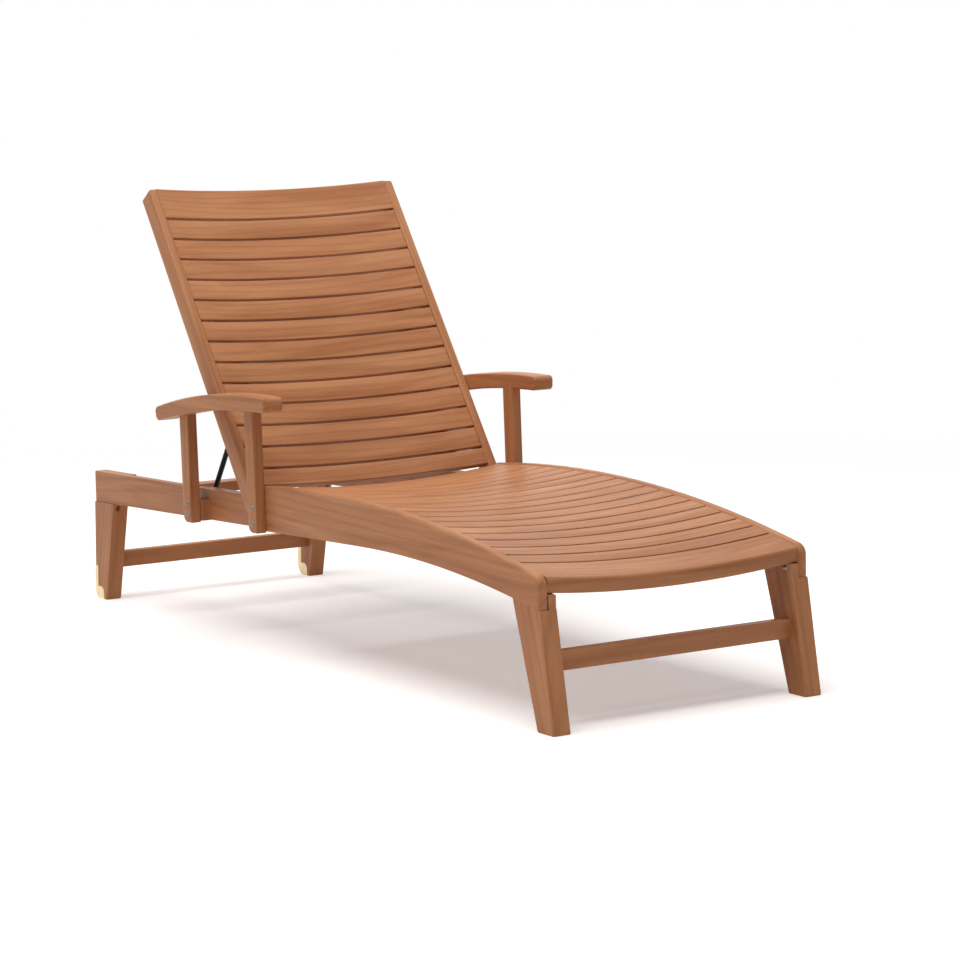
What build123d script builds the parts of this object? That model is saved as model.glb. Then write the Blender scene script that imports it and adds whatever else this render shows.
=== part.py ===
"""Sun lounger with a reclining slatted back and armrests.

Millimetres, +Z up, +X towards the foot end, +Y on the sitter's left.
The origin is on the ground, midway between the front and the rear feet.
"""
from build123d import *

import os
from math import asin, cos, degrees, hypot, radians, sin, tan

# Overall sizes
overall_length = 2000.0
seat_width = 650.0
seat_length = 1100.0
seat_front_height = 300.0
arm_height = 568.0
arm_width = 50.0
back_length = 825.0
back_angle = 55.5

# Seat rails: an arched top edge, and a bottom edge that runs straight and then falls
rail_thickness = 22.0
toe_reach = 43.0
rail_front_x = overall_length / 2 - toe_reach
rail_rear_x = rail_front_x - seat_length
rail_top_radius = 3535.0
rail_crown_x = rail_rear_x + 0.322 * seat_length
rail_rise = (rail_front_x - rail_crown_x) ** 2 / (2 * rail_top_radius)
rail_crown_z = seat_front_height + rail_rise
rail_front_depth = 65.0
rail_rear_depth = 95.3
rail_slope = 0.0345
rail_bend_x = rail_rear_x + 0.4 * seat_length
rail_front_round = 24.0
rail_edge_round = 7.0
rail_outer = seat_width / 2
rail_inner = rail_outer - rail_thickness

# Seat slats and front board, tongued into a groove along each rail
slat_count = 19
slat_gap = 5.0
slat_thickness = 18.0
slat_drop = 3.0
seat_dish = 18.0
slat_edge_round = 2.5
seat_end_gap = 1.5
tongue_length = 8.0
tongue_thickness = 8.0
groove_clearance = 0.15
front_board_width = 92.0
front_board_thickness = 30.0
front_board_nose = 10.0
front_tongue_width = 60.0

# Rear rails, set in by the thickness of the seat rails
rear_rail_thickness = 32.0
heel_reach = 17.0
rear_rail_end_x = heel_reach - overall_length / 2
rear_rail_end_height = 75.0
rear_rail_lap = 183.0
rear_rail_top_slope = 0.0254
rear_rail_outer = rail_inner
rear_rail_inner = rear_rail_outer - rear_rail_thickness
board_edge_round = 2.5

# Flat cross rail that ties the two rear rails, behind the reach of the prop
cross_rail_inset = 241.0
cross_rail_x = rear_rail_end_x + cross_rail_inset
cross_rail_width = 45.0
cross_rail_height = 24.0
cross_rail_lift = 24.0

# Legs and stretchers
leg_thickness = 40.0
foot_width = 56.0
front_leg_top_width = 88.0
rear_leg_top_width = 95.0
front_leg_proud = 2.0
rear_leg_rake = 10.0
foot_round = 4.0
leg_tongue_gap = 0.4
rear_tongue_height = 62.0
stretcher_height = 39.0
stretcher_thickness = 24.0
tenon_length = 20.0
tenon_shoulder = 4.0
tenon_clearance = 0.05
front_stretcher_z = 133.0
rear_stretcher_z = 95.0

# Brass shoe on the back lower corner of each rear foot
shoe_proud = 2.0
shoe_height = 80.0
shoe_strip = 13.0
shoe_lobe_width = 44.0
shoe_lobe_height = 30.0
shoe_heel_round = 24.0
shoe_lobe_round = 14.0
shoe_strip_round = 5.0

# Armrests, their posts and the blocks that space the rear posts off the rails
post_width = 37.0
post_thickness = 25.0
post_lean = 2.0
arm_length = 508.0
arm_overhang = 205.0
post_spacing = arm_length - arm_overhang
post_heel_round = 17.0
front_post_inset = 29.0
front_post_x = rail_rear_x + front_post_inset
rear_post_x = front_post_x - post_spacing
post_housing = 18.0
post_overhang = 3.0
arm_depth = 36.0
arm_end_depth = 32.0
arm_radius = 1770.0
arm_reach = 135.0
arm_crown_inset = 52.0
arm_front_x = rail_rear_x + arm_reach
arm_crown_x = arm_front_x - arm_crown_inset
arm_rear_round = 12.0
arm_front_round = 10.0
arm_edge_round = 4.0
block_width = 45.0
block_height = 46.0

# Backrest, in its own frame: s runs up the back from the pivot, n towards the sitter
pivot_reach = 41.5
pivot_x = rail_rear_x - pivot_reach
pivot_sink = 8.2
stile_depth = 45.0
stile_front = 31.0
stile_tail = 25.0
stile_top_inset = 4.0
stile_side_gap = 0.5
stile_thickness = rail_thickness - 2 * stile_side_gap
stile_top_round = 6.0
stile_tail_round = 10.0
stile_edge_round = 3.0
back_slat_count = 13
back_slat_start = 14.0
back_slat_trim = 8.0
back_slat_thickness = 14.0
back_slat_drop = 3.0
back_dish = 22.0
top_board_width = 80.0
top_board_round = 5.0
top_tongue_width = 50.0
batten_thickness = 18.0
batten_depth = 28.0
batten_outer = 244.0
batten_start = 60.0
batten_length = 420.0
batten_gap = 0.1

# Prop: it is as long as the distance from the back's pivot to the prop shaft
prop_shaft_s = 239.5
prop_shaft_n = -18.0
prop_angle = 236.4
prop_rod_radius = 6.0
prop_arm_y = 252.0
prop_bend_radius = 11.0
prop_eye_radius = 9.0
prop_eye_width = 13.0
prop_foot_reach = 31.0
prop_shaft_overhang = 6.0

# Notched rack in the inner half of each rear rail
rack_inset = 158.0
rack_start_x = rear_rail_end_x + rack_inset
rack_width = 14.0
rack_gap = 0.6
rack_lead = 35.0
notch_count = 5
notch_pitch = 49.0
notch_radius = 8.0
notch_sink = 2.5

# Fasteners
bolt_radius = 4.0
bolt_clearance = 0.05
running_clearance = 0.06
bolt_head_radius = 7.0
bolt_head_height = 4.0
bolt_cover = 6.0
front_bolt_rises = (17.0, 51.0)
rear_bolt_rises = (16.0, 40.0)
leg_bolt_inset = 23.0
front_leg_bolt_rise = 19.0
rear_leg_bolt_rise = 40.0
rear_leg_bolt_inset = 46.0
screw_angle = 45.0
screw_drop = 13.0
screw_length = 55.0
screw_radius = 3.0
screw_head_radius = 6.0
screw_head_height = 4.0
screw_sink = 9.0

SIDES = (("left", 1), ("right", -1))


def rail_top(x, offset=0.0):
    """Height of the seat rail's top arc at x, moved in by an offset."""
    radius = rail_top_radius - offset
    return rail_crown_z - rail_top_radius + (radius**2 - (x - rail_crown_x) ** 2) ** 0.5


def rail_bottom(x):
    """Height of the straight lower edge that the seat rail and the rear rail share."""
    return rail_top(rail_rear_x) - rail_rear_depth + rail_slope * (x - rail_rear_x)


def rear_rail_top(x):
    """Height of the rear rail's top edge at x."""
    end_top = rail_bottom(rear_rail_end_x) + rear_rail_end_height
    return end_top + rear_rail_top_slope * (x - rear_rail_end_x)


def arm_arc(x, offset=0.0):
    """Height of the armrest's top arc at x, moved in by an offset."""
    radius = arm_radius - offset
    return arm_height - arm_radius + (radius**2 - (x - arm_crown_x) ** 2) ** 0.5


def side_plane(sign, inner, outer):
    """Upright lengthwise plane: an extrusion by outer - inner fills that band of Y."""
    y = outer if sign > 0 else -inner
    return Plane(origin=(0, y, 0), x_dir=(1, 0, 0), z_dir=(0, -1, 0))


def cross_plane(x, z, fall):
    """Plane across the lounger at a point, its normal pointing forwards and down by an angle."""
    angle = radians(fall)
    return Plane(origin=(x, 0, z), x_dir=(0, 1, 0), z_dir=(cos(angle), 0, -sin(angle)))


def drill(points, y_from, y_to, radius):
    """Bore holes along Y, at (x, z) points, in the part that is being built."""
    with Locations(*[(x, (y_from + y_to) / 2, z) for x, z in points]):
        Cylinder(radius, abs(y_to - y_from), rotation=(90, 0, 0), mode=Mode.SUBTRACT)


def round_trim(radius, slope):
    """How far a rounded bottom corner draws back from the sharp one, under a leaning edge."""
    return radius * (hypot(1, slope) + slope - 1)


def corner(outline, x, y):
    """The corner of an outline that lies nearest to a point of its plane."""
    return outline.vertices().sort_by_distance((x, y, 0))[0]


def save(part, name):
    """Label a finished piece and write it to its own file."""
    part.label = name
    export_step(part, f"parts/{name}.step")


os.makedirs("parts", exist_ok=True)

# Places in the backrest's frame
back_up = (-cos(radians(back_angle)), sin(radians(back_angle)))
back_out = (sin(radians(back_angle)), cos(radians(back_angle)))
pivot_z = rear_rail_top(pivot_x) - pivot_sink
stile_inner = rear_rail_outer + stile_side_gap
stile_outer = stile_inner + stile_thickness
post_inner = stile_outer + stile_side_gap
post_outer = post_inner + post_thickness


def back_point(s, n):
    """Lounger x, z of a point given up and off the backrest."""
    return (
        pivot_x + s * back_up[0] + n * back_out[0],
        pivot_z + s * back_up[1] + n * back_out[1],
    )


def back_side_plane(y):
    """Plane of the backrest's side outline: local x up the back, local y to the sitter."""
    return Plane(
        origin=(pivot_x, y, pivot_z),
        x_dir=(back_up[0], 0, back_up[1]),
        z_dir=(0, 1, 0),
    )


# Places of the prop, its foot and the line that the foot follows
shaft_x, shaft_z = back_point(prop_shaft_s, prop_shaft_n)
prop_length = hypot(prop_shaft_s, prop_shaft_n)
prop_dir = (cos(radians(prop_angle)), sin(radians(prop_angle)))
foot_x = shaft_x + prop_length * prop_dir[0]
foot_z = shaft_z + prop_length * prop_dir[1]
path_slope = (foot_z - pivot_z) / (foot_x - pivot_x)

# Places of the fasteners, as (x, z)
pivot_bolt = [(pivot_x, pivot_z)]
front_post_bolts = [(front_post_x, rail_bottom(front_post_x) + rise) for rise in front_bolt_rises]
rear_post_bolts = [(rear_post_x, rail_bottom(rear_post_x) + rise) for rise in rear_bolt_rises]
front_leg_bolt = [
    (rail_front_x - leg_bolt_inset, seat_front_height - rail_front_depth + front_leg_bolt_rise)
]
rear_leg_bolt_x = rear_rail_end_x + rear_leg_bolt_inset
rear_leg_bolt = [(rear_leg_bolt_x, rail_bottom(rear_leg_bolt_x) + rear_leg_bolt_rise)]

# Outline values of the legs
front_leg_inner = rail_outer - leg_thickness
rear_leg_inner = rear_rail_outer - leg_thickness
shoulder_z = seat_front_height - rail_front_depth
front_rake = (overall_length / 2 - rail_front_x - front_leg_proud) / shoulder_z
front_toe_x = overall_length / 2 + round_trim(foot_round, front_rake)
rear_top_x = rear_rail_end_x + rear_leg_top_width
rear_shoulder_z = rail_bottom(rear_top_x)
rear_heel_slope = rear_leg_rake / rear_shoulder_z
rear_heel_x = shoe_proud - overall_length / 2 - round_trim(shoe_heel_round, rear_heel_slope)
rear_toe_x = rear_heel_x + foot_width
rear_toe_slope = (rear_top_x - rear_toe_x) / rear_shoulder_z
screw_x = rear_toe_x + rear_toe_slope * (rear_shoulder_z - screw_drop)
screw_z = rear_shoulder_z - screw_drop


def screw_plane(sign):
    """Plane at the mouth of the slanted screw in a rear leg, its normal along the screw."""
    slant = radians(screw_angle)
    return Plane(
        origin=(screw_x, sign * (rear_rail_outer - leg_thickness / 3), screw_z),
        x_dir=(0, 1, 0),
        z_dir=(-cos(slant), 0, sin(slant)),
    )


def screw_bore(sign):
    """Bore the slanted screw's hole and its sunk mouth in the part that is being built."""
    with Locations(screw_plane(sign).offset(-screw_sink).location):
        Cylinder(
            screw_head_radius + bolt_clearance,
            2 * screw_sink + screw_head_height,
            align=(Align.CENTER, Align.CENTER, Align.MIN),
            mode=Mode.SUBTRACT,
        )
        Cylinder(
            screw_radius + bolt_clearance,
            2 * screw_sink + screw_length,
            align=(Align.CENTER, Align.CENTER, Align.MIN),
            mode=Mode.SUBTRACT,
        )


# Seat rails
for side, sign in SIDES:
    with BuildPart() as seat_rail:
        with BuildSketch(side_plane(sign, rail_inner, rail_outer)) as outline:
            with BuildLine():
                straight = Line(
                    (rail_rear_x, rail_bottom(rail_rear_x)),
                    (rail_bend_x, rail_bottom(rail_bend_x)),
                )
                fall = TangentArc(
                    straight @ 1,
                    (rail_front_x, seat_front_height - rail_front_depth),
                    tangent=straight % 1,
                )
                front_end = Line(fall @ 1, (rail_front_x, rail_top(rail_front_x)))
                arch = ThreePointArc(
                    front_end @ 1, (rail_crown_x, rail_crown_z), (rail_rear_x, rail_top(rail_rear_x))
                )
                Line(arch @ 1, straight @ 0)
            make_face()
            fillet(corner(outline, rail_front_x, rail_top(rail_front_x)), rail_front_round)
        extrude(amount=rail_thickness)
        arcs = seat_rail.edges().filter_by(GeomType.CIRCLE).sort_by(Axis.Z)[2:]
        front_lines = seat_rail.edges().filter_by(Axis.Z).sort_by(Axis.X)[-2:]
        fillet(arcs + front_lines, rail_edge_round)

        groove_depth = tongue_length + groove_clearance
        groove_top = slat_drop + (slat_thickness - tongue_thickness) / 2 - groove_clearance
        groove_bottom = groove_top + tongue_thickness + 2 * groove_clearance
        groove_end_x = rail_front_x - (front_board_width - front_tongue_width) / 2
        with BuildSketch(side_plane(sign, rail_inner, rail_inner + groove_depth)):
            with BuildLine():
                upper = ThreePointArc(
                    (rail_rear_x, rail_top(rail_rear_x, groove_top)),
                    (rail_crown_x, rail_top(rail_crown_x, groove_top)),
                    (groove_end_x, rail_top(groove_end_x, groove_top)),
                )
                groove_end = Line(upper @ 1, (groove_end_x, rail_top(groove_end_x, groove_bottom)))
                lower = ThreePointArc(
                    groove_end @ 1,
                    (rail_crown_x, rail_top(rail_crown_x, groove_bottom)),
                    (rail_rear_x, rail_top(rail_rear_x, groove_bottom)),
                )
                Line(lower @ 1, upper @ 0)
            make_face()
        extrude(amount=groove_depth, mode=Mode.SUBTRACT)
        drill(front_post_bolts, sign * rail_inner, sign * rail_outer, bolt_radius + bolt_clearance)
        drill(
            front_leg_bolt,
            sign * rail_inner,
            sign * (rail_outer - bolt_cover),
            bolt_radius + bolt_clearance,
        )
    save(seat_rail.part, f"seat_rail_{side}")

# Rear rails, with the notched rack in their inner half
rear_rail_front_x = rail_rear_x + rear_rail_lap
for side, sign in SIDES:
    with BuildPart() as rear_rail:
        with BuildSketch(side_plane(sign, rear_rail_inner, rear_rail_outer)):
            with BuildLine():
                Polyline(
                    (rear_rail_end_x, rail_bottom(rear_rail_end_x)),
                    (rear_rail_front_x, rail_bottom(rear_rail_front_x)),
                    (rear_rail_front_x, rear_rail_top(rear_rail_front_x)),
                    (rear_rail_end_x, rear_rail_top(rear_rail_end_x)),
                    close=True,
                )
            make_face()
        extrude(amount=rear_rail_thickness)
        fillet(rear_rail.edges(), board_edge_round)

        rack_end_x = foot_x + rack_lead
        floor_drop = prop_rod_radius + rack_gap
        with BuildSketch(side_plane(sign, rear_rail_inner, rear_rail_inner + rack_width)):
            with BuildLine():
                Polyline(
                    (rack_start_x, pivot_z + path_slope * (rack_start_x - pivot_x) - floor_drop),
                    (rack_end_x, pivot_z + path_slope * (rack_end_x - pivot_x) - floor_drop),
                    (rack_end_x, rear_rail_top(rack_end_x) + rear_rail_end_height),
                    (rack_start_x, rear_rail_top(rack_start_x) + rear_rail_end_height),
                    close=True,
                )
            make_face()
            notch_xs = [foot_x - i * notch_pitch for i in range(notch_count)]
            with Locations(*[(x, pivot_z + path_slope * (x - pivot_x) - notch_sink) for x in notch_xs]):
                Circle(notch_radius)
        extrude(amount=rack_width, mode=Mode.SUBTRACT)
        drill(pivot_bolt, sign * rear_rail_inner, sign * rear_rail_outer, bolt_radius + bolt_clearance)
        drill(
            front_post_bolts + rear_post_bolts,
            sign * (rear_rail_inner + bolt_cover),
            sign * rear_rail_outer,
            bolt_radius + bolt_clearance,
        )
        drill(
            rear_leg_bolt,
            sign * rear_rail_inner,
            sign * (rear_rail_outer - bolt_cover),
            bolt_radius + bolt_clearance,
        )
        screw_bore(sign)
    save(rear_rail.part, f"rear_rail_{side}")

# Cross rail between the rear rails
with BuildPart() as cross_rail:
    cross_rail_z = rail_bottom(cross_rail_x) + cross_rail_lift + cross_rail_height / 2
    with Locations((cross_rail_x, 0, cross_rail_z)):
        Box(cross_rail_width, 2 * rear_rail_inner, cross_rail_height)
    fillet(cross_rail.edges().filter_by(Axis.Y), board_edge_round)
save(cross_rail.part, "rear_cross_rail")


def stretcher(x, z, inner):
    """A cross bar between two legs with a tenon at each end."""
    with BuildPart() as bar:
        with Locations((x, 0, z)):
            Box(stretcher_thickness, 2 * inner, stretcher_height)
        fillet(bar.edges().filter_by(Axis.Y), board_edge_round)
        with Locations((x, 0, z)):
            Box(
                stretcher_thickness - 2 * tenon_shoulder,
                2 * (inner + tenon_length),
                stretcher_height - 2 * tenon_shoulder,
            )
    return bar.part


def mortise(x, z, sign, inner):
    """Cut the stretcher's mortise in the leg that is being built."""
    with Locations((x, sign * (inner + tenon_length / 2), z)):
        Box(
            stretcher_thickness - 2 * tenon_shoulder + 2 * tenon_clearance,
            tenon_length + 2 * tenon_clearance,
            stretcher_height - 2 * tenon_shoulder + 2 * tenon_clearance,
            mode=Mode.SUBTRACT,
        )


# Front legs: the rail stands on an outer shoulder, and a tongue rises behind it
front_heel_x = front_toe_x - foot_width
front_top_x = rail_front_x - front_leg_top_width
front_heel_slope = (front_top_x - front_heel_x) / (shoulder_z + front_leg_proud)
front_toe_slope = (rail_front_x + front_leg_proud - front_toe_x) / shoulder_z
tongue_drop = slat_drop + front_board_thickness + seat_dish * (1 - (front_leg_inner / rail_inner) ** 2)
tongue_top_z = rail_top(front_top_x, tongue_drop) - leg_tongue_gap
tongue_front_z = rail_top(rail_front_x, tongue_drop) - leg_tongue_gap
front_stretcher_x = (
    front_heel_x
    + front_toe_x
    + (front_heel_slope + front_toe_slope) * front_stretcher_z
) / 2
for side, sign in SIDES:
    with BuildPart() as front_leg:
        with BuildSketch(side_plane(sign, front_leg_inner, rail_outer)) as outline:
            with BuildLine():
                Polyline(
                    (front_heel_x, 0),
                    (front_toe_x, 0),
                    (rail_front_x + front_leg_proud, shoulder_z),
                    (rail_front_x, shoulder_z + 2 * front_leg_proud),
                    (rail_front_x, tongue_front_z),
                    (front_heel_x + front_heel_slope * tongue_top_z, tongue_top_z),
                    close=True,
                )
            make_face()
            fillet(outline.vertices().sort_by(Axis.Y)[:2], foot_round)
        extrude(amount=leg_thickness)
        fillet(front_leg.faces().filter_by(Axis.Y).edges(), board_edge_round)
        with BuildSketch(side_plane(sign, rail_inner, rail_outer)):
            with BuildLine():
                straight = Line(
                    (rail_rear_x, rail_bottom(rail_rear_x)),
                    (rail_bend_x, rail_bottom(rail_bend_x)),
                )
                fall = TangentArc(
                    straight @ 1, (rail_front_x, shoulder_z), tangent=straight % 1
                )
                Polyline(
                    fall @ 1,
                    (front_toe_x, shoulder_z),
                    (front_toe_x, rail_crown_z),
                    (rail_rear_x, rail_crown_z),
                    straight @ 0,
                )
            make_face()
        extrude(amount=rail_thickness, mode=Mode.SUBTRACT)
        mortise(front_stretcher_x, front_stretcher_z, sign, front_leg_inner)
        drill(front_leg_bolt, sign * front_leg_inner, sign * rail_inner, bolt_radius + bolt_clearance)
    save(front_leg.part, f"front_leg_{side}")
save(stretcher(front_stretcher_x, front_stretcher_z, front_leg_inner), "front_stretcher")

# Brass shoes, one under the heel of each rear leg
shoe_back_x = rear_heel_x - shoe_proud
shoe_front_x = rear_heel_x + shoe_lobe_width
strip_front_x = rear_heel_x + shoe_strip
shoe_lean = rear_heel_slope * shoe_height
with BuildPart() as rear_shoes:
    for side, sign in SIDES:
        with BuildSketch(side_plane(sign, rear_leg_inner, rear_rail_outer)) as outline:
            with BuildLine():
                Polyline(
                    (shoe_back_x + shoe_lean, shoe_height),
                    (shoe_back_x, 0),
                    (shoe_front_x, 0),
                    (shoe_front_x, shoe_lobe_height),
                    (strip_front_x + rear_heel_slope * shoe_lobe_height, shoe_lobe_height),
                    (strip_front_x + shoe_lean, shoe_height),
                    close=True,
                )
            make_face()
            fillet(corner(outline, shoe_back_x, 0), shoe_heel_round)
            fillet(corner(outline, shoe_front_x, shoe_lobe_height), shoe_lobe_round)
            fillet(corner(outline, strip_front_x + shoe_lean, shoe_height), shoe_strip_round)
        extrude(amount=leg_thickness)
save(rear_shoes.part, "rear_shoes")

# Rear legs: as the front ones, with the shoe let into the heel
tongue_z = rear_shoulder_z + rear_tongue_height
rear_stretcher_x = (
    rear_heel_x + rear_toe_x + (rear_heel_slope + rear_toe_slope) * rear_stretcher_z
) / 2
for side, sign in SIDES:
    with BuildPart() as rear_leg:
        with BuildSketch(side_plane(sign, rear_leg_inner, rear_rail_outer)) as outline:
            with BuildLine():
                Polyline(
                    (rear_heel_x, 0),
                    (rear_toe_x, 0),
                    (rear_toe_x + rear_toe_slope * tongue_z, tongue_z),
                    (rear_heel_x + rear_leg_rake, tongue_z),
                    (rear_heel_x + rear_leg_rake, rear_shoulder_z),
                    close=True,
                )
            make_face()
            fillet(corner(outline, rear_toe_x, 0), foot_round)
            fillet(corner(outline, rear_heel_x, 0), shoe_heel_round)
        extrude(amount=leg_thickness)
        fillet(rear_leg.faces().filter_by(Axis.Y).edges(), board_edge_round)
        with BuildSketch(side_plane(sign, rear_rail_inner, rear_rail_outer)):
            with BuildLine():
                Polyline(
                    (rear_rail_end_x - leg_thickness, rail_bottom(rear_rail_end_x - leg_thickness)),
                    (rail_rear_x, rail_bottom(rail_rear_x)),
                    (rail_rear_x, 2 * tongue_z),
                    (rear_rail_end_x - leg_thickness, 2 * tongue_z),
                    close=True,
                )
            make_face()
        extrude(amount=rear_rail_thickness, mode=Mode.SUBTRACT)
        add(rear_shoes.part, mode=Mode.SUBTRACT)
        mortise(rear_stretcher_x, rear_stretcher_z, sign, rear_leg_inner)
        drill(rear_leg_bolt, sign * rear_leg_inner, sign * rear_rail_inner, bolt_radius + bolt_clearance)
        screw_bore(sign)
    save(rear_leg.part, f"rear_leg_{side}")
save(stretcher(rear_stretcher_x, rear_stretcher_z, rear_leg_inner), "rear_stretcher")


def post_plane(sign, inner, outer, x):
    """Plane of a leaning post's side outline: local y up the post from the rail's lower edge."""
    lean = radians(post_lean)
    return Plane(
        origin=(x, outer if sign > 0 else -inner, rail_bottom(x)),
        x_dir=(cos(lean), 0, sin(lean)),
        z_dir=(0, -1, 0),
    )


def post(sign, x, bolts):
    """A leaning armrest post with a rounded heel, let into the armrest at its top."""
    top_x = x - tan(radians(post_lean)) * (arm_height - rail_bottom(x))
    length = (arm_arc(top_x, arm_depth) + post_housing - rail_bottom(x)) / cos(radians(post_lean))
    with BuildPart() as upright:
        with BuildSketch(post_plane(sign, post_inner, post_outer, x)) as outline:
            with BuildLine():
                Polyline(
                    (-post_width / 2, -post_overhang),
                    (post_width / 2, -post_overhang),
                    (post_width / 2, length),
                    (-post_width / 2, length),
                    close=True,
                )
            make_face()
            fillet(corner(outline, -post_width / 2, -post_overhang), post_heel_round)
        extrude(amount=post_thickness)
        long_edges = upright.faces().filter_by(Axis.Y).edges().sort_by(Axis.Z)[:-2]
        fillet(long_edges, board_edge_round)
        drill(bolts, sign * post_inner, sign * post_outer, bolt_radius + bolt_clearance)
    return upright.part


# Posts, blocks and armrests
arm_centre = (arm_crown_x, arm_height - arm_radius)
arm_rear_x = arm_front_x - arm_length
arm_turns = [asin((x - arm_crown_x) / arm_radius) for x in (arm_front_x, arm_rear_x)]


def arm_point(turn, offset):
    """Point of the armrest's side outline, at a turn from its crown and an offset below its top."""
    radius = arm_radius - offset
    return (arm_centre[0] + radius * sin(turn), arm_centre[1] + radius * cos(turn))


for side, sign in SIDES:
    front_post = post(sign, front_post_x, front_post_bolts)
    rear_post = post(sign, rear_post_x, rear_post_bolts)
    save(front_post, f"front_post_{side}")
    save(rear_post, f"rear_post_{side}")

    with BuildPart() as armrest:
        with BuildSketch(side_plane(sign, post_inner, post_inner + arm_width)) as outline:
            front_turn, rear_turn = arm_turns
            mid_turn = (front_turn + rear_turn) / 2
            with BuildLine():
                top = ThreePointArc(
                    arm_point(front_turn, 0), arm_point(mid_turn, 0), arm_point(rear_turn, 0)
                )
                rear_end = Line(top @ 1, arm_point(rear_turn, arm_end_depth))
                under = ThreePointArc(
                    rear_end @ 1, arm_point(mid_turn, arm_depth), arm_point(front_turn, arm_end_depth)
                )
                Line(under @ 1, top @ 0)
            make_face()
            for offset in (0, arm_end_depth):
                fillet(corner(outline, *arm_point(rear_turn, offset)), arm_rear_round)
                fillet(corner(outline, *arm_point(front_turn, offset)), arm_front_round)
        extrude(amount=arm_width)
        fillet(armrest.faces().filter_by(Axis.Y).edges(), arm_edge_round)
        add(front_post, mode=Mode.SUBTRACT)
        add(rear_post, mode=Mode.SUBTRACT)
    save(armrest.part, f"armrest_{side}")

with BuildPart() as post_blocks:
    for side, sign in SIDES:
        with BuildSketch(post_plane(sign, rear_rail_outer, post_inner, rear_post_x)):
            with Locations((0, block_height / 2)):
                Rectangle(block_width, block_height)
        extrude(amount=post_inner - rear_rail_outer)
        drill(
            rear_post_bolts, sign * rear_rail_outer, sign * post_inner, bolt_radius + bolt_clearance
        )
save(post_blocks.part, "post_blocks")


def dished_board(plane, width, half, thickness, dish, front_round, rear_round, tongue_width):
    """A board across the lounger, dished along its length, with a tongue at each end.

    The plane's origin is on the board's top edge line, halfway across its width.
    """
    with BuildPart() as board:
        with BuildSketch(plane):
            with BuildLine():
                top = ThreePointArc((-half, 0), (0, -dish), (half, 0))
                end = Line(top @ 1, (half, -thickness))
                under = ThreePointArc(end @ 1, (0, -dish - thickness), (-half, -thickness))
                Line(under @ 1, top @ 0)
            make_face()
        extrude(amount=width / 2, both=True)
        upward = Axis(plane.origin, plane.y_dir)
        forward = Axis(plane.origin, plane.z_dir)
        for place, radius in ((-1, front_round), (0, rear_round)):
            top_arcs = board.edges().filter_by(GeomType.CIRCLE).sort_by(upward)[-2:]
            fillet(top_arcs.sort_by(forward)[place], radius)
        with BuildSketch(plane):
            reach = half + tongue_length / 2
            level = -min(slat_thickness, thickness) / 2
            with Locations((reach, level), (-reach, level)):
                Rectangle(tongue_length, tongue_thickness)
        extrude(amount=tongue_width / 2, both=True)
    return board.part


# Seat slats and front board, set along the rails' arch
seat_radius = rail_top_radius - slat_drop
front_turn = asin((rail_front_x - seat_end_gap - rail_crown_x) / seat_radius)
rear_turn = asin((rail_rear_x + seat_end_gap - rail_crown_x) / seat_radius)
slat_pitch = (seat_radius * (front_turn - rear_turn) - front_board_width) / slat_count
slat_width = slat_pitch - slat_gap


def seat_plane(distance):
    """Plane across the seat at a distance from its front edge, along the arch."""
    turn = front_turn - distance / seat_radius
    x = rail_crown_x + seat_radius * sin(turn)
    z = rail_crown_z - rail_top_radius + seat_radius * cos(turn)
    return cross_plane(x, z, degrees(turn))


front_board = dished_board(
    seat_plane(front_board_width / 2),
    front_board_width,
    rail_inner,
    front_board_thickness,
    seat_dish,
    front_board_nose,
    slat_edge_round,
    front_tongue_width,
)
save(front_board, "front_board")

for i in range(slat_count):
    middle = front_board_width + (i + 1) * slat_pitch - slat_width / 2
    seat_slat = dished_board(
        seat_plane(middle),
        slat_width,
        rail_inner,
        slat_thickness,
        seat_dish,
        slat_edge_round,
        slat_edge_round,
        slat_width,
    )
    save(seat_slat, f"seat_slat_{i + 1:02d}")

# Backrest stiles, grooved for the slats and bored for the pivot bolts
stile_end = back_length - stile_tail
back_pitch = (stile_end - back_slat_start - top_board_width) / back_slat_count
back_slat_width = back_pitch - slat_gap
back_face = stile_front - back_slat_drop
back_axis = Axis((pivot_x, 0, pivot_z), (back_up[0], 0, back_up[1]))
out_axis = Axis((pivot_x, 0, pivot_z), (back_out[0], 0, back_out[1]))
for side, sign in SIDES:
    with BuildPart() as back_stile:
        with BuildSketch(back_side_plane(stile_inner if sign > 0 else -stile_outer)) as outline:
            stile_middle = (stile_end - stile_top_inset - stile_tail) / 2
            with Locations((stile_middle, stile_front - stile_depth / 2)):
                Rectangle(back_length - stile_top_inset, stile_depth)
            fillet(outline.vertices().sort_by(Axis.X)[:2], stile_tail_round)
        extrude(amount=stile_thickness)
        top_edges = back_stile.edges().filter_by(out_axis).sort_by(back_axis)[-2:]
        fillet(top_edges.sort_by(Axis.Y)[-1 if sign > 0 else 0], stile_top_round)
        fillet(back_stile.edges().filter_by(back_axis), stile_edge_round)

        back_groove_start = back_slat_start + back_slat_trim - groove_clearance
        back_groove_end = stile_end - (top_board_width - top_tongue_width) / 2 + groove_clearance
        back_groove_depth = tongue_length + groove_clearance
        groove_y = stile_inner if sign > 0 else -stile_inner - back_groove_depth
        with BuildSketch(back_side_plane(groove_y)):
            with Locations(
                ((back_groove_start + back_groove_end) / 2, back_face - back_slat_thickness / 2)
            ):
                Rectangle(
                    back_groove_end - back_groove_start, tongue_thickness + 2 * groove_clearance
                )
        extrude(amount=back_groove_depth, mode=Mode.SUBTRACT)
        drill(
            pivot_bolt,
            sign * stile_inner,
            sign * (stile_outer - bolt_cover),
            bolt_radius + running_clearance,
        )
    save(back_stile.part, f"back_stile_{side}")

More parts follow.
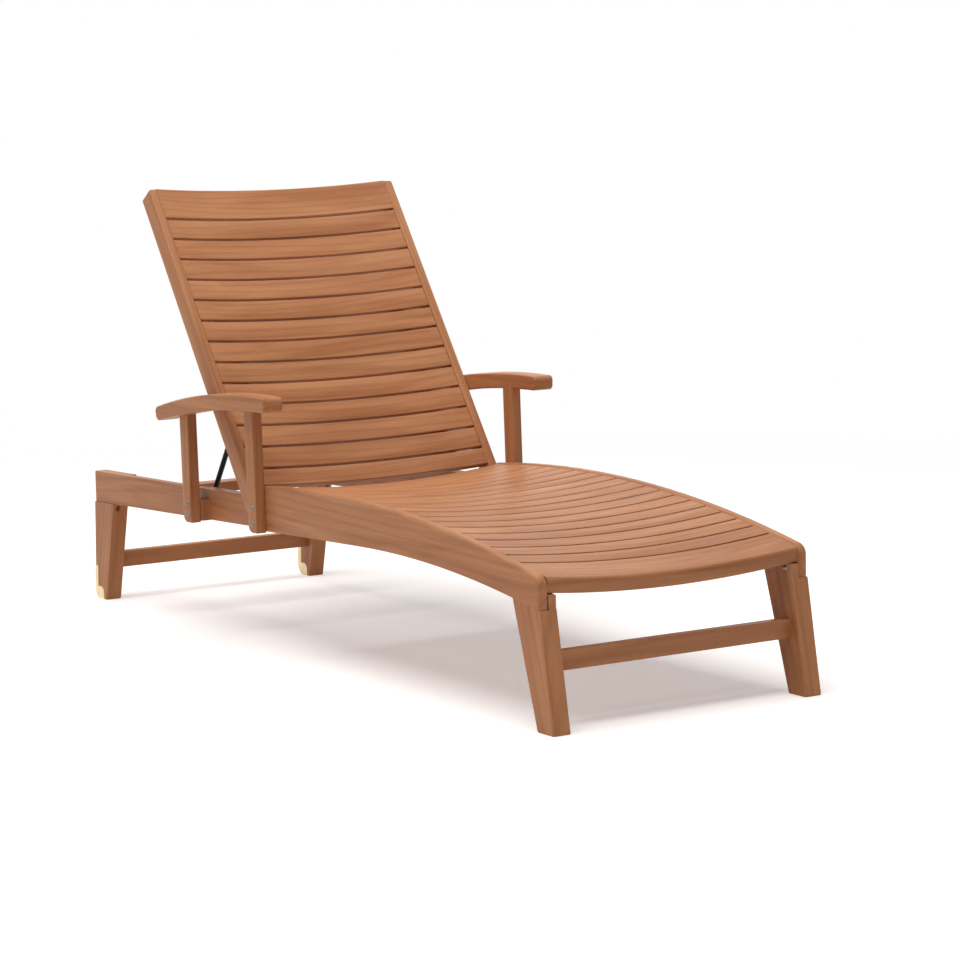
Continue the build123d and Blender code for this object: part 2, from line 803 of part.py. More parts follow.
# Backrest slats, the lowest one narrower, and top board
for i in range(back_slat_count):
    trim = 0.0 if i else back_slat_trim
    middle = back_slat_start + i * back_pitch + (back_slat_width + trim) / 2
    back_slat = dished_board(
        cross_plane(*back_point(middle, back_face), back_angle),
        back_slat_width - trim,
        stile_inner,
        back_slat_thickness,
        back_dish,
        slat_edge_round,
        slat_edge_round,
        back_slat_width - trim,
    )
    save(back_slat, f"back_slat_{i + 1:02d}")

top_board = dished_board(
    cross_plane(*back_point(stile_end - top_board_width / 2, back_face), back_angle),
    top_board_width,
    stile_inner,
    back_slat_thickness,
    back_dish,
    slat_edge_round,
    top_board_round,
    top_tongue_width,
)
save(top_board, "back_top_board")

# Battens behind the slats, which carry the prop shaft
dish_radius = (stile_inner**2 + back_dish**2) / (2 * back_dish)


def slat_back(y):
    """Local height of the backrest slats' rear face, at y across, below their front edge line."""
    return dish_radius - back_dish - back_slat_thickness - (dish_radius**2 - y**2) ** 0.5


batten_inner = batten_outer - batten_thickness
batten_middle = (batten_inner + batten_outer) / 2
batten_foot = -back_face - batten_depth
with BuildPart() as back_battens:
    for side, sign in SIDES:
        batten_point = back_point(batten_start + batten_length / 2, back_face)
        with BuildSketch(cross_plane(*batten_point, back_angle)):
            with BuildLine():
                edge = ThreePointArc(
                    *[
                        (sign * y, slat_back(y) - batten_gap)
                        for y in (batten_inner, batten_middle, batten_outer)
                    ]
                )
                Polyline(
                    edge @ 1,
                    (sign * batten_outer, batten_foot),
                    (sign * batten_inner, batten_foot),
                    edge @ 0,
                )
            make_face()
        extrude(amount=batten_length / 2, both=True)
    drill([(shaft_x, shaft_z)], -stile_inner, stile_inner, prop_rod_radius + running_clearance)
save(back_battens.part, "back_battens")

# Prop: a shaft through the battens and two arms with outward feet
shaft_half = prop_arm_y + prop_shaft_overhang
with BuildPart() as prop_shaft:
    with Locations((shaft_x, 0, shaft_z)):
        Cylinder(prop_rod_radius, 2 * shaft_half, rotation=(90, 0, 0))
save(prop_shaft.part, "prop_shaft")

with BuildPart() as prop_arms:
    for side, sign in SIDES:
        arm_plane = Plane(
            origin=(shaft_x, sign * prop_arm_y, shaft_z),
            x_dir=(prop_dir[0], 0, prop_dir[1]),
            z_dir=(-prop_dir[1], 0, prop_dir[0]),
        )
        with BuildLine(arm_plane) as bar:
            outward = sign if arm_plane.y_dir.Y > 0 else -sign
            FilletPolyline(
                (0, 0),
                (prop_length, 0),
                (prop_length, outward * prop_foot_reach),
                radius=prop_bend_radius,
            )
        with BuildSketch(Plane(origin=bar.line @ 0, z_dir=bar.line % 0)):
            Circle(prop_rod_radius)
        sweep(path=bar.line)
        with Locations((shaft_x, sign * prop_arm_y, shaft_z)):
            Cylinder(prop_eye_radius, prop_eye_width, rotation=(90, 0, 0))
    drill([(shaft_x, shaft_z)], -shaft_half, shaft_half, prop_rod_radius + bolt_clearance)
save(prop_arms.part, "prop_arms")


def dome_bolt(x, z, y_head, y_tip):
    """Add a dome-headed bolt along Y, its head seated at y_head."""
    outward = 1 if y_head > y_tip else -1
    length = abs(y_head - y_tip)
    plane = Plane(origin=(x, y_head, z), x_dir=(outward, 0, 0), z_dir=(0, 0, 1))
    dome_radius = (bolt_head_radius**2 + bolt_head_height**2) / (2 * bolt_head_height)
    with BuildSketch(plane) as profile:
        with BuildLine():
            dome = RadiusArc((bolt_head_radius, 0), (0, bolt_head_height), -dome_radius)
            Polyline(
                dome @ 1, (0, -length), (bolt_radius, -length), (bolt_radius, 0), dome @ 0
            )
        make_face()
    revolve(profile.sketch, axis=Axis((x, y_head, z), (0, 1, 0)))


with BuildPart() as frame_bolts:
    for side, sign in SIDES:
        for x, z in front_post_bolts + rear_post_bolts:
            dome_bolt(x, z, sign * post_outer, sign * (rear_rail_inner + bolt_cover))
        for x, z in front_leg_bolt:
            dome_bolt(x, z, sign * front_leg_inner, sign * (rail_outer - bolt_cover))
        for x, z in rear_leg_bolt:
            dome_bolt(x, z, sign * rear_leg_inner, sign * (rear_rail_outer - bolt_cover))
        for x, z in pivot_bolt:
            dome_bolt(x, z, sign * rear_rail_inner, sign * (stile_outer - bolt_cover))
        with Locations(screw_plane(sign).offset(screw_sink).location):
            Cylinder(
                screw_head_radius,
                screw_head_height,
                align=(Align.CENTER, Align.CENTER, Align.MIN),
            )
            Cylinder(
                screw_radius,
                screw_length,
                align=(Align.CENTER, Align.CENTER, Align.MIN),
            )
save(frame_bolts.part, "frame_bolts")
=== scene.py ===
"""Looks for a teak sun lounger: boards with their grain, brass shoes, a black prop bar, steel bolts."""

import logging
import math
from dataclasses import dataclass, field
from enum import Enum
from typing import Any

import bpy
from mathutils import Matrix, Vector

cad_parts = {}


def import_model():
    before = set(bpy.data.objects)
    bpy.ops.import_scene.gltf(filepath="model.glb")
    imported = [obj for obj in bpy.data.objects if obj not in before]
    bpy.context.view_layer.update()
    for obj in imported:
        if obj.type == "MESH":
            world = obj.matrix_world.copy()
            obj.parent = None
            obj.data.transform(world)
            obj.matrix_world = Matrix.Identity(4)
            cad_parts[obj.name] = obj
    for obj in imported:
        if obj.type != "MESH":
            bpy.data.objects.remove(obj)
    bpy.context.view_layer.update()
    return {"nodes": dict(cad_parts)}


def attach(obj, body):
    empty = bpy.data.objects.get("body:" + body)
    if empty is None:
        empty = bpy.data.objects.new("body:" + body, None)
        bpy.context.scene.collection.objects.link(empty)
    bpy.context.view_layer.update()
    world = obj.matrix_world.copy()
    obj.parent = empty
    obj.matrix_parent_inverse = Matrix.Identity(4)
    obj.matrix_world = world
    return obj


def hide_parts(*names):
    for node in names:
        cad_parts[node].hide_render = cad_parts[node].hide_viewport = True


LOG = logging.getLogger("lounger")
TONE = "board_tone"
WHITE = (1.0, 1.0, 1.0, 1.0)
MM_PER_METRE = 1000.0
# Scale at which Blender's ring wave takes one millimetre a ring
ONE_MM_RINGS = 100.0 * math.pi
# Steps along a slat, along the path of a row of slats, and round a slat's edge
SPINE_STEPS = 40
PATH_STEPS = 96
EDGE_STEPS = 4
# Edges that turn by more than this stay sharp, in degrees
SHARP_ANGLE = 40


def linear(code: str) -> tuple[float, float, float, float]:
    """Turn an sRGB hex colour into a linear one.

    Args:
        code: The colour as "#RRGGBB".

    Returns:
        Linear red, green and blue, and an alpha of one.
    """
    parts = [int(code[i : i + 2], 16) / 255 for i in (1, 3, 5)]
    values = [c / 12.92 if c <= 0.04045 else ((c + 0.055) / 1.055) ** 2.4 for c in parts]
    return (values[0], values[1], values[2], 1.0)


def add_node(
    tree: bpy.types.NodeTree, kind: str, inputs: dict | None = None, **settings: Any
) -> bpy.types.Node:
    """Add a node, set its properties, and set or link its inputs.

    Args:
        tree: The tree that gets the node.
        kind: Blender's name for the kind of node.
        inputs: A value, or a socket to link from, for each input by name or number.
        **settings: The node's own properties.

    Returns:
        The new node.
    """
    made = tree.nodes.new(kind)
    for name, value in settings.items():
        setattr(made, name, value)
    for key, value in (inputs or {}).items():
        if isinstance(value, bpy.types.NodeSocket):
            tree.links.new(value, made.inputs[key])
        else:
            made.inputs[key].default_value = value
    return made


def new_material(name: str) -> tuple[bpy.types.Material, bpy.types.NodeTree, bpy.types.Node]:
    """Make an empty node material.

    Args:
        name: The material's name.

    Returns:
        The material, its tree and its Principled shader, already joined to the output.
    """
    material = bpy.data.materials.new(name)
    material.use_nodes = True
    tree = material.node_tree
    tree.nodes.clear()
    shader = add_node(tree, "ShaderNodeBsdfPrincipled")
    add_node(tree, "ShaderNodeOutputMaterial", {"Surface": shader.outputs["BSDF"]})
    return material, tree, shader


def stops(ramp: bpy.types.Node, places: list[tuple[float, str]]) -> None:
    """Set a colour ramp's stops.

    Args:
        ramp: The Color Ramp node.
        places: A position and an sRGB hex colour for each stop, in order.
    """
    band = ramp.color_ramp.elements
    while len(band) < len(places):
        band.new(1.0)
    for stop, (place, code) in zip(band, places):
        stop.position = place
        stop.color = linear(code)


@dataclass(frozen=True)
class Span:
    """How a value turns into a level: from start, at low or less, to stop, at high or more."""

    low: float
    high: float
    start: float
    stop: float

    def level(
        self, tree: bpy.types.NodeTree, value: bpy.types.NodeSocket, **settings: Any
    ) -> bpy.types.NodeSocket:
        """Add the node that turns a value into its level.

        Args:
            tree: The tree that gets the node.
            value: The value.
            **settings: The node's own properties.

        Returns:
            The level.
        """
        made = add_node(
            tree,
            "ShaderNodeMapRange",
            {"Value": value, 1: self.low, 2: self.high, 3: self.start, 4: self.stop},
            **settings,
        )
        return made.outputs["Result"]


@dataclass(frozen=True)
class Streak:
    """A noise drawn out along the grain: one streak's size, levels of finer noise, and wander."""

    length_mm: float
    width_mm: float
    detail: float
    wander: float

    def value(self, tree: bpy.types.NodeTree, spot: bpy.types.NodeSocket) -> bpy.types.NodeSocket:
        """Add the noise.

        Args:
            tree: The material's tree.
            spot: The place on the board, grain along X, in metres.

        Returns:
            The noise's value.
        """
        along = MM_PER_METRE / self.length_mm
        across = MM_PER_METRE / self.width_mm
        drawn = add_node(
            tree, "ShaderNodeMapping", {"Vector": spot, "Scale": (along, across, across)}
        )
        noise = add_node(
            tree,
            "ShaderNodeTexNoise",
            {
                "Vector": drawn.outputs["Vector"],
                "Scale": 1.0,
                "Detail": self.detail,
                "Distortion": self.wander,
            },
        )
        return noise.outputs["Fac"]


class Grain(Enum):
    """Way that a board's grain runs: the turn, in degrees, that lays it along local X."""

    LENGTHWISE = (0.0, 0.0, 0.0)
    CROSSWISE = (0.0, 0.0, -90.0)
    UPRIGHT = (0.0, 90.0, 0.0)
    FRONT_LEG = (0.0, 104.0, 0.0)
    REAR_LEG = (0.0, 78.0, 0.0)
    BACKREST = (0.0, 124.5, 0.0)


@dataclass(frozen=True)
class Teak:
    """Oiled teak, planed and sanded.

    The eye gets an even warm brown with long soft bands, thin darker ring lines that wander along
    the board, fine streaks, a few short pores, and a satin surface that pales at a low angle.
    Bands set the colour; rings, streaks and the board's own tone then darken or lighten it.
    """

    pale: str = "#C0865D"
    middle: str = "#B57A52"
    dark: str = "#A76C46"
    pore: str = "#6B3C20"
    bands: Streak = Streak(420.0, 40.0, 2.0, 0.6)
    band_stops: tuple[float, float, float] = (0.3, 0.48, 0.68)
    ring_mm: float = 20.0
    ring_squeeze: float = 0.12
    ring_wander: float = 14.0
    ring_detail: float = 1.0
    ring_detail_scale: float = 0.5
    ring_shade: Span = Span(0.0, 0.4, 0.88, 1.01)
    streaks: Streak = Streak(90.0, 2.0, 2.0, 0.2)
    streak_shade: Span = Span(0.3, 0.7, 0.95, 1.04)
    tone_shade: Span = Span(-1.0, 1.0, 0.93, 1.07)
    tone_shift: tuple[float, float, float] = (3.1, 1.7, 2.3)
    pores: Streak = Streak(12.0, 0.9, 1.0, 0.0)
    pore_share: Span = Span(0.64, 0.74, 0.0, 0.22)
    roughness: Span = Span(0.25, 0.75, 0.46, 0.34)
    gloss: float = 0.18
    bump: float = 0.25
    bump_depth: float = 0.0003

    def material(self, grain: Grain) -> bpy.types.Material:
        """Build the material for boards whose grain runs one way.

        Args:
            grain: The way that the grain runs.

        Returns:
            The finished material.
        """
        material, tree, shader = new_material(f"teak_{grain.name.lower()}")
        tone = add_node(tree, "ShaderNodeAttribute", attribute_name=TONE).outputs["Fac"]
        spot = self.spot(tree, grain, tone)
        streak = self.streaks.value(tree, spot)

        ramp = add_node(tree, "ShaderNodeValToRGB", {"Fac": self.bands.value(tree, spot)})
        stops(ramp, list(zip(self.band_stops, (self.dark, self.middle, self.pale))))
        shade = ramp.outputs["Color"]
        for value, span in (
            (self.rings(tree, spot), self.ring_shade),
            (streak, self.streak_shade),
            (tone, self.tone_shade),
        ):
            shade = add_node(
                tree,
                "ShaderNodeVectorMath",
                {0: shade, "Scale": span.level(tree, value)},
                operation="SCALE",
            ).outputs["Vector"]
        open_pore = self.pore_share.level(tree, self.pores.value(tree, spot))
        colour = add_node(
            tree,
            "ShaderNodeMix",
            {"Factor": open_pore, 6: shade, 7: linear(self.pore)},
            data_type="RGBA",
        )
        tree.links.new(colour.outputs[2], shader.inputs["Base Color"])

        shader.inputs["Specular IOR Level"].default_value = self.gloss
        tree.links.new(self.roughness.level(tree, streak), shader.inputs["Roughness"])
        height = add_node(
            tree, "ShaderNodeMath", {0: streak, 1: open_pore}, operation="SUBTRACT"
        )
        bump = add_node(
            tree,
            "ShaderNodeBump",
            {
                "Strength": self.bump,
                "Distance": self.bump_depth,
                "Height": height.outputs["Value"],
            },
        )
        tree.links.new(bump.outputs["Normal"], shader.inputs["Normal"])
        return material

    def spot(
        self, tree: bpy.types.NodeTree, grain: Grain, tone: bpy.types.NodeSocket
    ) -> bpy.types.NodeSocket:
        """Find the place on the board, moved by its tone so that no two slats look alike.

        Args:
            tree: The material's tree.
            grain: The way that the grain runs.
            tone: The board's own tone, which also moves its figure.

        Returns:
            The place, grain along X, in metres.
        """
        place = add_node(tree, "ShaderNodeTexCoord").outputs["Object"]
        turn = tuple(math.radians(a) for a in grain.value)
        laid = add_node(tree, "ShaderNodeMapping", {"Vector": place, "Rotation": turn})
        shift = add_node(
            tree, "ShaderNodeVectorMath", {0: self.tone_shift, "Scale": tone}, operation="SCALE"
        )
        made = add_node(
            tree,
            "ShaderNodeVectorMath",
            {0: laid.outputs["Vector"], 1: shift.outputs["Vector"]},
            operation="ADD",
        )
        return made.outputs["Vector"]

    def rings(self, tree: bpy.types.NodeTree, spot: bpy.types.NodeSocket) -> bpy.types.NodeSocket:
        """Add the growth rings, cut along their length and bent so that they close into long loops.

        Args:
            tree: The material's tree.
            spot: The place on the board, grain along X, in metres.

        Returns:
            The rings' value.
        """
        drawn = add_node(
            tree, "ShaderNodeMapping", {"Vector": spot, "Scale": (self.ring_squeeze, 1.0, 1.0)}
        )
        wave = add_node(
            tree,
            "ShaderNodeTexWave",
            {
                "Vector": drawn.outputs["Vector"],
                "Scale": ONE_MM_RINGS / self.ring_mm,
                "Distortion": self.ring_wander,
                "Detail": self.ring_detail,
                "Detail Scale": self.ring_detail_scale,
            },
            wave_type="RINGS",
            rings_direction="X",
        )
        return wave.outputs["Fac"]


@dataclass(frozen=True)
class Metal:
    """A metal or metal coat.

    It has a base colour clouded by a stain, a grit of a given size that raises it a little and
    ranges its roughness, and a gloss, which is how strongly its bare or coated face mirrors.
    """

    name: str
    colour: str
    stain: str
    grit_mm: float
    roughness: tuple[float, float]
    metallic: float
    bump: float
    gloss: float = 0.5
    cloud_scale: float = 60.0
    cloud_detail: float = 3.0
    cloud_stops: tuple[float, float] = (0.35, 0.65)
    grit_detail: float = 2.0
    grit_range: tuple[float, float] = (0.3, 0.7)
    grit_depth: float = 0.0002

    def material(self) -> bpy.types.Material:
        """Build the material, clouded a little and with a fine grit in its surface."""
        material, tree, shader = new_material(self.name)
        place = add_node(tree, "ShaderNodeTexCoord").outputs["Object"]
        cloud = self.noise(tree, place, self.cloud_scale, self.cloud_detail)
        grit = self.noise(tree, place, MM_PER_METRE / self.grit_mm, self.grit_detail)
        ramp = add_node(tree, "ShaderNodeValToRGB", {"Fac": cloud})
        stops(ramp, list(zip(self.cloud_stops, (self.stain, self.colour))))
        tree.links.new(ramp.outputs["Color"], shader.inputs["Base Color"])
        dull = Span(*self.grit_range, *self.roughness).level(tree, grit)
        tree.links.new(dull, shader.inputs["Roughness"])
        bump = add_node(
            tree,
            "ShaderNodeBump",
            {"Strength": self.bump, "Distance": self.grit_depth, "Height": grit},
        )
        tree.links.new(bump.outputs["Normal"], shader.inputs["Normal"])
        shader.inputs["Metallic"].default_value = self.metallic
        shader.inputs["Specular IOR Level"].default_value = self.gloss
        return material

    def noise(
        self, tree: bpy.types.NodeTree, place: bpy.types.NodeSocket, scale: float, detail: float
    ) -> bpy.types.NodeSocket:
        """Add an even noise.

        Args:
            tree: The material's tree.
            place: The place on the piece, in metres.
            scale: Lumps of noise in a metre.
            detail: Levels of finer noise.

        Returns:
            The noise's value.
        """
        made = add_node(
            tree, "ShaderNodeTexNoise", {"Vector": place, "Scale": scale, "Detail": detail}
        )
        return made.outputs["Fac"]


# Cast brass, tumbled to a pale satin: a cream yellow with soft clouding
SATIN_BRASS = Metal("satin_brass", "#F2E0B8", "#E8D2A2", 0.8, (0.34, 0.5), 0.6, 0.1)
# Steel rod under a black powder coat: near black, with the slight orange peel of the coat
POWDER_COAT = Metal("black_powder_coat", "#121315", "#0C0D0E", 1.4, (0.42, 0.56), 0.0, 0.2, 0.25)
# Stainless steel as turned: a mid grey darkened and warmed by a painted reflection of the wood around
# it, which also mirrors the light room
STAINLESS = Metal("stainless_steel", "#8E857A", "#736A60", 0.6, (0.24, 0.38), 1.0, 0.05)


@dataclass
class SlatRun:
    """A row of dished slats set along a path, made by one node tree."""

    name: str
    body: str
    nodes: list[str]
    start: Vector
    handle: Vector
    end: Vector
    width: float
    thickness: float
    half_length: float
    dish: float
    edge_round: float
    seed: int

    def tree(self, material: bpy.types.Material) -> bpy.types.NodeTree:
        """Build the node tree that sweeps one slat and sets it along the path.

        Args:
            material: The slats' material.

        Returns:
            The node tree, with a named input for each size.
        """
        tree = bpy.data.node_groups.new(f"{self.name}_tree", "GeometryNodeTree")
        face = tree.interface
        face.new_socket("Geometry", in_out="OUTPUT", socket_type="NodeSocketGeometry")
        for label in ("Start", "Handle", "End"):
            face.new_socket(label, in_out="INPUT", socket_type="NodeSocketVector")
        face.new_socket("Count", in_out="INPUT", socket_type="NodeSocketInt")
        for label in ("Width", "Thickness", "Half Length", "Dish", "Edge Round"):
            face.new_socket(label, in_out="INPUT", socket_type="NodeSocketFloat")
        size = add_node(tree, "NodeGroupInput").outputs

        slat = self.slat(tree, size)
        path = add_node(
            tree,
            "GeometryNodeCurveQuadraticBezier",
            {
                "Resolution": PATH_STEPS,
                "Start": size["Start"],
                "Middle": size["Handle"],
                "End": size["End"],
            },
        )
        places = add_node(
            tree,
            "GeometryNodeCurveToPoints",
            {"Curve": path.outputs["Curve"], "Count": size["Count"]},
            mode="COUNT",
        )
        facing = add_node(
            tree,
            "FunctionNodeAxesToRotation",
            {"Primary Axis": places.outputs["Tangent"], "Secondary Axis": (0.0, 1.0, 0.0)},
            primary_axis="X",
            secondary_axis="Y",
        )
        row = add_node(
            tree,
            "GeometryNodeInstanceOnPoints",
            {
                "Points": places.outputs["Points"],
                "Instance": slat,
                "Rotation": facing.outputs["Rotation"],
            },
        )
        tone = add_node(
            tree, "FunctionNodeRandomValue", {2: -1.0, 3: 1.0, "Seed": self.seed}, data_type="FLOAT"
        )
        marked = add_node(
            tree,
            "GeometryNodeStoreNamedAttribute",
            {"Geometry": row.outputs["Instances"], "Name": TONE, "Value": tone.outputs[1]},
            data_type="FLOAT",
            domain="INSTANCE",
        )
        real = add_node(
            tree, "GeometryNodeRealizeInstances", {"Geometry": marked.outputs["Geometry"]}
        )
        dressed = add_node(
            tree,
            "GeometryNodeSetMaterial",
            {"Geometry": real.outputs["Geometry"], "Material": material},
        )
        add_node(tree, "NodeGroupOutput", {"Geometry": dressed.outputs["Geometry"]})
        return tree

    def slat(
        self, tree: bpy.types.NodeTree, size: bpy.types.bpy_prop_collection
    ) -> bpy.types.NodeSocket:
        """Sweep one slat, with eased edges, along its dished spine.

        Args:
            tree: The row's tree.
            size: The tree's named inputs.

        Returns:
            The slat's mesh, its upper edge line at the origin.
        """
        sunk = add_node(
            tree, "ShaderNodeMath", {0: size["Thickness"], 1: -0.5}, operation="MULTIPLY"
        ).outputs[0]
        low = add_node(tree, "ShaderNodeMath", {0: sunk, 1: size["Dish"]}, operation="SUBTRACT")
        left = add_node(
            tree, "ShaderNodeMath", {0: size["Half Length"], 1: -1.0}, operation="MULTIPLY"
        )
        near = add_node(tree, "ShaderNodeCombineXYZ", {"Y": left.outputs[0], "Z": sunk})
        middle = add_node(tree, "ShaderNodeCombineXYZ", {"Z": low.outputs[0]})
        far = add_node(tree, "ShaderNodeCombineXYZ", {"Y": size["Half Length"], "Z": sunk})
        spine = add_node(
            tree,
            "GeometryNodeCurveArc",
            {
                "Resolution": SPINE_STEPS,
                "Start": near.outputs[0],
                "Middle": middle.outputs[0],
                "End": far.outputs[0],
            },
            mode="POINTS",
        )
        upright = add_node(
            tree, "GeometryNodeSetCurveNormal", {"Curve": spine.outputs["Curve"]}, mode="Z_UP"
        )
        section = add_node(
            tree,
            "GeometryNodeCurvePrimitiveQuadrilateral",
            {"Width": size["Width"], "Height": size["Thickness"]},
            mode="RECTANGLE",
        )
        eased = add_node(
            tree,
            "GeometryNodeFilletCurve",
            {"Curve": section.outputs["Curve"], "Radius": size["Edge Round"], "Count": EDGE_STEPS},
            mode="POLY",
        )
        swept = add_node(
            tree,
            "GeometryNodeCurveToMesh",
            {
                "Curve": upright.outputs["Curve"],
                "Profile Curve": eased.outputs["Curve"],
                "Fill Caps": True,
            },
        )
        return swept.outputs["Mesh"]

    def build(self, material: bpy.types.Material) -> bpy.types.Object:
        """Run the tree once, keep its result as a plain mesh, and put it on its body.

        Args:
            material: The slats' material.

        Returns:
            The finished piece.
        """
        sizes = {
            "Start": self.start,
            "Handle": self.handle,
            "End": self.end,
            "Count": len(self.nodes),
            "Width": self.width,
            "Thickness": self.thickness,
            "Half Length": self.half_length,
            "Dish": self.dish,
            "Edge Round": self.edge_round,
        }
        piece = run_tree(self.name, self.tree(material), sizes)
        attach(piece, self.body)
        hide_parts(*self.nodes)
        return piece


def run_tree(name: str, tree: bpy.types.NodeTree, sizes: dict[str, Any]) -> bpy.types.Object:
    """Run a node tree and turn its result into a plain mesh object.

    Args:
        name: The piece's name.
        tree: The node tree.
        sizes: A value for each of its named inputs.

    Returns:
        The piece, at the origin and with no modifier.
    """
    host = bpy.data.objects.new(f"{name}_host", bpy.data.meshes.new(f"{name}_host"))
    bpy.context.scene.collection.objects.link(host)
    modifier = host.modifiers.new("build", "NODES")
    modifier.node_group = tree
    for item in tree.interface.items_tree:
        if item.item_type == "SOCKET" and item.in_out == "INPUT":
            modifier[item.identifier] = sizes[item.name]
    graph = bpy.context.evaluated_depsgraph_get()
    mesh = bpy.data.meshes.new_from_object(host.evaluated_get(graph), depsgraph=graph)
    mesh.name = name
    mesh.shade_smooth()
    mesh.set_sharp_from_angle(angle=math.radians(SHARP_ANGLE))
    bpy.data.objects.remove(host)
    piece = bpy.data.objects.new(name, mesh)
    bpy.context.scene.collection.objects.link(piece)
    return piece


@dataclass
class Lounger:
    """The lounger's own sizes in metres, and which of its boards run which way."""

    seat_front_x: float = 0.957
    seat_length: float = 1.1
    seat_front_height: float = 0.3
    arch_radius: float = 3.535
    crown_share: float = 0.322
    seat_inset: float = 0.0015
    slat_drop: float = 0.003
    slat_gap: float = 0.005
    front_board: float = 0.092
    seat_half: float = 0.303
    seat_thickness: float = 0.018
    seat_dish: float = 0.018
    seat_count: int = 19
    seat_seed: int = 11
    pivot: tuple[float, float] = (-0.1845, 0.323685)
    back_angle: float = 55.5
    back_face: float = 0.028
    back_start: float = 0.014
    back_end: float = 0.8
    top_board: float = 0.08
    back_half: float = 0.3035
    back_thickness: float = 0.014
    back_dish: float = 0.022
    back_count: int = 13
    back_seed: int = 5
    edge_round: float = 0.002
    grain: dict[Grain, list[str]] = field(
        default_factory=lambda: {
            Grain.LENGTHWISE: ["seat_rail", "rear_rail", "armrest"],
            Grain.UPRIGHT: ["front_post", "rear_post", "post_blocks"],
            Grain.FRONT_LEG: ["front_leg"],
            Grain.REAR_LEG: ["rear_leg"],
            Grain.CROSSWISE: [
                "front_stretcher",
                "rear_stretcher",
                "rear_cross_rail",
                "front_board",
                "back_top_board",
                "back_slat_01",
            ],
            Grain.BACKREST: ["back_stile", "back_battens"],
        }
    )

    @property
    def rear_x(self) -> float:
        """Rear end of the seat."""
        return self.seat_front_x - self.seat_length

    @property
    def crown_x(self) -> float:
        """Place of the highest point of the seat's arch."""
        return self.rear_x + self.crown_share * self.seat_length

    def seat_point(self, turn: float, radius: float) -> Vector:
        """Point of the seat's arch.

        Args:
            turn: Angle from the crown, in radians, towards the front.
            radius: Distance from the arch's centre.

        Returns:
            The point, on the lounger's middle plane.
        """
        rise = (self.seat_front_x - self.crown_x) ** 2 / (2 * self.arch_radius)
        crown_z = self.seat_front_height + rise
        x = self.crown_x + radius * math.sin(turn)
        z = crown_z - self.arch_radius + radius * math.cos(turn)
        return Vector((x, 0.0, z))

    def seat_slats(self) -> SlatRun:
        """Lay out the seat's slats along the arch, from the rear to the front."""
        radius = self.arch_radius - self.slat_drop
        front = math.asin((self.seat_front_x - self.seat_inset - self.crown_x) / radius)
        rear = math.asin((self.rear_x + self.seat_inset - self.crown_x) / radius)
        pitch = (radius * (front - rear) - self.front_board) / self.seat_count
        width = pitch - self.slat_gap
        first = rear + width / 2 / radius
        last = first + (self.seat_count - 1) * pitch / radius
        half_turn = (last - first) / 2
        return SlatRun(
            name="seat_slats",
            body="frame",
            nodes=[f"seat_slat_{i + 1:02d}" for i in range(self.seat_count)],
            start=self.seat_point(first, radius),
            handle=self.seat_point((first + last) / 2, radius / math.cos(half_turn)),
            end=self.seat_point(last, radius),
            width=width,
            thickness=self.seat_thickness,
            half_length=self.seat_half,
            dish=self.seat_dish,
            edge_round=self.edge_round,
            seed=self.seat_seed,
        )

    def back_point(self, up: float) -> Vector:
        """Point of the backrest's front face, at a distance up from the pivot."""
        angle = math.radians(self.back_angle)
        x = self.pivot[0] - up * math.cos(angle) + self.back_face * math.sin(angle)
        z = self.pivot[1] + up * math.sin(angle) + self.back_face * math.cos(angle)
        return Vector((x, 0.0, z))

    def back_slats(self) -> SlatRun:
        """Lay out the backrest's slats of full width, from the top down."""
        pitch = (self.back_end - self.back_start - self.top_board) / self.back_count
        width = pitch - self.slat_gap
        bottom = self.back_start + pitch + width / 2
        top = bottom + (self.back_count - 2) * pitch
        return SlatRun(
            name="back_slats",
            body="backrest",
            nodes=[f"back_slat_{i + 1:02d}" for i in range(1, self.back_count)],
            start=self.back_point(top),
            handle=self.back_point((top + bottom) / 2),
            end=self.back_point(bottom),
            width=width,
            thickness=self.back_thickness,
            half_length=self.back_half,
            dish=self.back_dish,
            edge_round=self.edge_round,
            seed=self.back_seed,
        )

    def dress(self, nodes: dict[str, bpy.types.Object], teak: Teak) -> None:
        """Build the slats, and give every solid its finish.

        Args:
            nodes: The solids by name.
            teak: The wood's finish.
        """
        woods = {grain: teak.material(grain) for grain in Grain}
        for grain, names in self.grain.items():
            for name, solid in nodes.items():
                if any(name.startswith(start) for start in names):
                    finish(solid, woods[grain])
        metals = {
            "rear_shoes": SATIN_BRASS,
            "prop_arms": POWDER_COAT,
            "prop_shaft": POWDER_COAT,
            "frame_bolts": STAINLESS,
        }
        for name, metal in metals.items():
            made = bpy.data.materials.get(metal.name) or metal.material()
            finish(nodes[name], made)
        for run in (self.seat_slats(), self.back_slats()):
            piece = run.build(woods[Grain.CROSSWISE])
            LOG.info("built %s with %d faces", piece.name, len(piece.data.polygons))


def finish(solid: bpy.types.Object, material: bpy.types.Material) -> None:
    """Put one material on a solid.

    Args:
        solid: The object to dress.
        material: Its finish.
    """
    solid.data.materials.clear()
    solid.data.materials.append(material)
    LOG.info("dressed %s in %s", solid.name, material.name)


@dataclass(frozen=True)
class SoftBox:
    """A square soft lamp: where it hangs, the length of its side, and its power."""

    name: str
    place: tuple[float, float, float]
    size: float
    watts: float

    def hang(self, aim: Vector) -> None:
        """Make the lamp and point it.

        Args:
            aim: What it points at.
        """
        data = bpy.data.lights.new(self.name, "AREA")
        data.shape = "SQUARE"
        data.size = self.size
        data.energy = self.watts
        lamp = bpy.data.objects.new(self.name, data)
        lamp.location = self.place
        lamp.rotation_euler = (aim - Vector(self.place)).to_track_quat("-Z", "Y").to_euler()
        bpy.context.scene.collection.objects.link(lamp)


